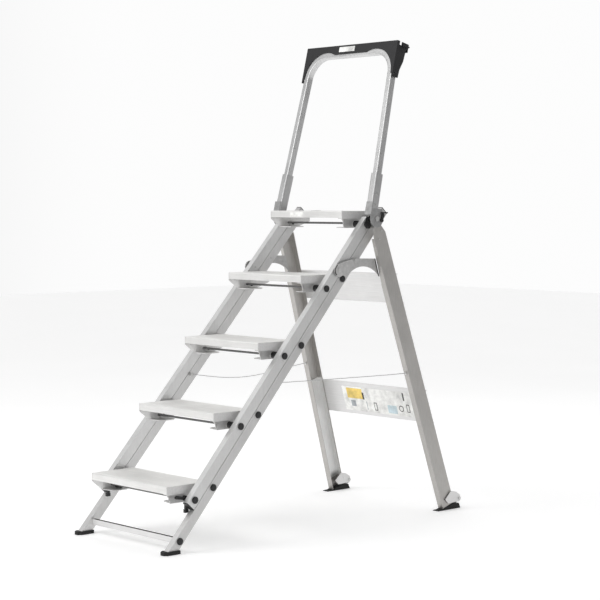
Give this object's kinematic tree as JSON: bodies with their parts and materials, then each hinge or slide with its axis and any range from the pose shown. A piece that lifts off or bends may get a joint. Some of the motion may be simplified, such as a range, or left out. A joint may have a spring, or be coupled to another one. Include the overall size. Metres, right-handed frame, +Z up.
{
  "type": "folding step ladder",
  "caption": "Folding aluminium step ladder with wide ribbed treads between paired rails, splayed rear legs on small wheels, a bent tube handrail and a tool tray on top.",
  "frame": {"origin": "centre of the footprint's bounding box, on the floor", "axes": "+Z up, +Y towards the rear legs, X across the ladder"},
  "size_m": [0.6564, 1.437, 1.8114],
  "materials": {
    "rail_aluminium": "satin anodised",
    "tread_aluminium": "ribbed, satin",
    "bracket_aluminium": "cast, matt",
    "leg_aluminium": "satin anodised, dark",
    "panel_aluminium": "satin",
    "plate_steel": "zinc plated",
    "pin_steel": "zinc plated",
    "rod_steel": "dark satin",
    "cable_steel": "stranded wire",
    "black_plastic": "moulded",
    "black_rubber": "moulded",
    "wheel_plastic": "moulded",
    "wheel_tyre": "matt"
  },
  "bodies": {
    "lower_frame": {"lower_rail_left": "rail_aluminium", "lower_rail_right": "rail_aluminium", "front_feet": "black_rubber", "crossbar": "rail_aluminium", "lower_rail_bolts": "black_plastic", "lower_rail_caps": "black_plastic", "lower_bushings": "black_plastic", "spreader_lower_pins": "pin_steel", "leg_pivot_pins": "pin_steel", "cable_front_clips": "pin_steel"},
    "step_1": {"tread_1": "tread_aluminium", "step_brackets_1": "bracket_aluminium", "tie_rod_1": "rod_steel"},
    "step_2": {"tread_2": "tread_aluminium", "step_brackets_2": "bracket_aluminium", "tie_rod_2": "rod_steel"},
    "step_3": {"tread_3": "tread_aluminium", "step_brackets_3": "bracket_aluminium", "tie_rod_3": "rod_steel"},
    "step_4": {"tread_4": "tread_aluminium", "step_brackets_4": "bracket_aluminium", "tie_rod_4": "rod_steel"},
    "step_5": {"tread_5": "tread_aluminium", "step_brackets_5": "bracket_aluminium", "tie_rod_5": "rod_steel"},
    "front_frame": {"front_rail_left": "rail_aluminium", "front_rail_right": "rail_aluminium", "front_rail_caps": "black_plastic", "front_rail_bolts": "black_plastic", "front_bushings": "black_plastic", "head_brackets": "black_plastic", "head_pins": "pin_steel", "spreader_front_pins": "pin_steel"},
    "spreader": {"spreader_plate_left": "plate_steel", "spreader_plate_right": "plate_steel"},
    "rear_legs": {"rear_leg_left": "leg_aluminium", "rear_leg_right": "leg_aluminium", "leg_stiffeners": "panel_aluminium", "upper_panel": "panel_aluminium", "lower_panel": "panel_aluminium", "leg_rivets": "pin_steel", "rear_feet": "black_rubber", "wheel_brackets": "plate_steel", "wheel_axles": "pin_steel", "cable_rear_clips": "pin_steel", "limit_cable_left": "cable_steel", "limit_cable_right": "cable_steel"},
    "handrail": {"hinge_brackets": "plate_steel", "handrail_posts": "bracket_aluminium", "handrail_tube": "rail_aluminium", "post_rivets": "pin_steel", "tool_tray": "black_plastic"},
    "wheel_set_left": {"wheel_left": "wheel_plastic", "tyre_left": "wheel_tyre"},
    "hinge_release_left": {"hinge_lever_left": "black_plastic"},
    "step_release_left": {"step_lever_left": "black_plastic"},
    "wheel_set_right": {"wheel_right": "wheel_plastic", "tyre_right": "wheel_tyre"},
    "hinge_release_right": {"hinge_lever_right": "black_plastic"},
    "step_release_right": {"step_lever_right": "black_plastic"}
  },
  "joints": [
    {"name": "step_1_fold", "type": "hinge", "parent": "lower_frame", "child": "step_1", "pos_m": [0, -0.4988, 0.209], "axis": [-1, 0, 0], "range_deg": [0, 129]},
    {"name": "step_2_fold", "type": "hinge", "parent": "lower_frame", "child": "step_2", "pos_m": [0, -0.28609, 0.444], "axis": [-1, 0, 0], "range_deg": [0, 129]},
    {"name": "step_3_fold", "type": "hinge", "parent": "lower_frame", "child": "step_3", "pos_m": [0, -0.07338, 0.679], "axis": [-1, 0, 0], "range_deg": [0, 129]},
    {"name": "step_4_fold", "type": "hinge", "parent": "lower_frame", "child": "step_4", "pos_m": [0, 0.13933, 0.914], "axis": [-1, 0, 0], "range_deg": [0, 129]},
    {"name": "step_5_fold", "type": "hinge", "parent": "lower_frame", "child": "step_5", "pos_m": [0, 0.35205, 1.149], "axis": [-1, 0, 0], "range_deg": [0, 129]},
    {"name": "front_frame_fold", "type": "hinge", "parent": "step_1", "child": "front_frame", "pos_m": [0, -0.5811, 0.1751], "axis": [-1, 0, 0], "range_deg": [-129, 0]},
    {"name": "spreader_fold", "type": "hinge", "parent": "lower_frame", "child": "spreader", "pos_m": [0, 0.19889, 0.9798], "axis": [-1, 0, 0], "range_deg": [0, 129]},
    {"name": "rear_leg_fold", "type": "hinge", "parent": "lower_frame", "child": "rear_legs", "pos_m": [0, 0.2999, 1.11], "axis": [-1, 0, 0], "range_deg": [0, 59.6], "deforming": ["limit_cable_left", "limit_cable_right"]},
    {"name": "handrail_fold", "type": "hinge", "parent": "front_frame", "child": "handrail", "pos_m": [0, 0.2918, 1.136], "axis": [-1, 0, 0], "range_deg": [0, 28.2]},
    {"name": "wheel_spin_left", "type": "hinge", "parent": "rear_legs", "child": "wheel_set_left", "pos_m": [-0.306, 0.7015, 0.0375], "axis": [1, 0, 0], "continuous": true},
    {"name": "wheel_spin_right", "type": "hinge", "parent": "rear_legs", "child": "wheel_set_right", "pos_m": [0.306, 0.7015, 0.0375], "axis": [1, 0, 0], "continuous": true},
    {"name": "hinge_lever_press_left", "type": "hinge", "parent": "handrail", "child": "hinge_release_left", "pos_m": [-0.275, 0.3158, 1.13], "axis": [-1, 0, 0], "range_deg": [0, 18], "stiffness_Nm_per_rad": 0.05, "springref_deg": -17.19},
    {"name": "hinge_lever_press_right", "type": "hinge", "parent": "handrail", "child": "hinge_release_right", "pos_m": [0.275, 0.3158, 1.13], "axis": [-1, 0, 0], "range_deg": [0, 18], "stiffness_Nm_per_rad": 0.05, "springref_deg": -17.19},
    {"name": "step_lever_swing_left", "type": "hinge", "parent": "front_frame", "child": "step_release_left", "pos_m": [-0.225, -0.5811, 0.1751], "axis": [1, 0, 0], "range_deg": [0, 25], "stiffness_Nm_per_rad": 0.2, "springref_deg": -22.92},
    {"name": "step_lever_swing_right", "type": "hinge", "parent": "front_frame", "child": "step_release_right", "pos_m": [0.225, -0.5811, 0.1751], "axis": [1, 0, 0], "range_deg": [0, 25], "stiffness_Nm_per_rad": 0.2, "springref_deg": -22.92}
  ],
  "couplings": [
    {"joint": "step_2_fold", "follows": "step_1_fold", "ratio": 1},
    {"joint": "step_3_fold", "follows": "step_1_fold", "ratio": 1},
    {"joint": "step_4_fold", "follows": "step_1_fold", "ratio": 1},
    {"joint": "step_5_fold", "follows": "step_1_fold", "ratio": 1},
    {"joint": "front_frame_fold", "follows": "step_1_fold", "ratio": -1},
    {"joint": "spreader_fold", "follows": "step_1_fold", "ratio": 1},
    {"joint": "rear_leg_fold", "follows": "step_1_fold", "ratio": 0.462}
  ]
}
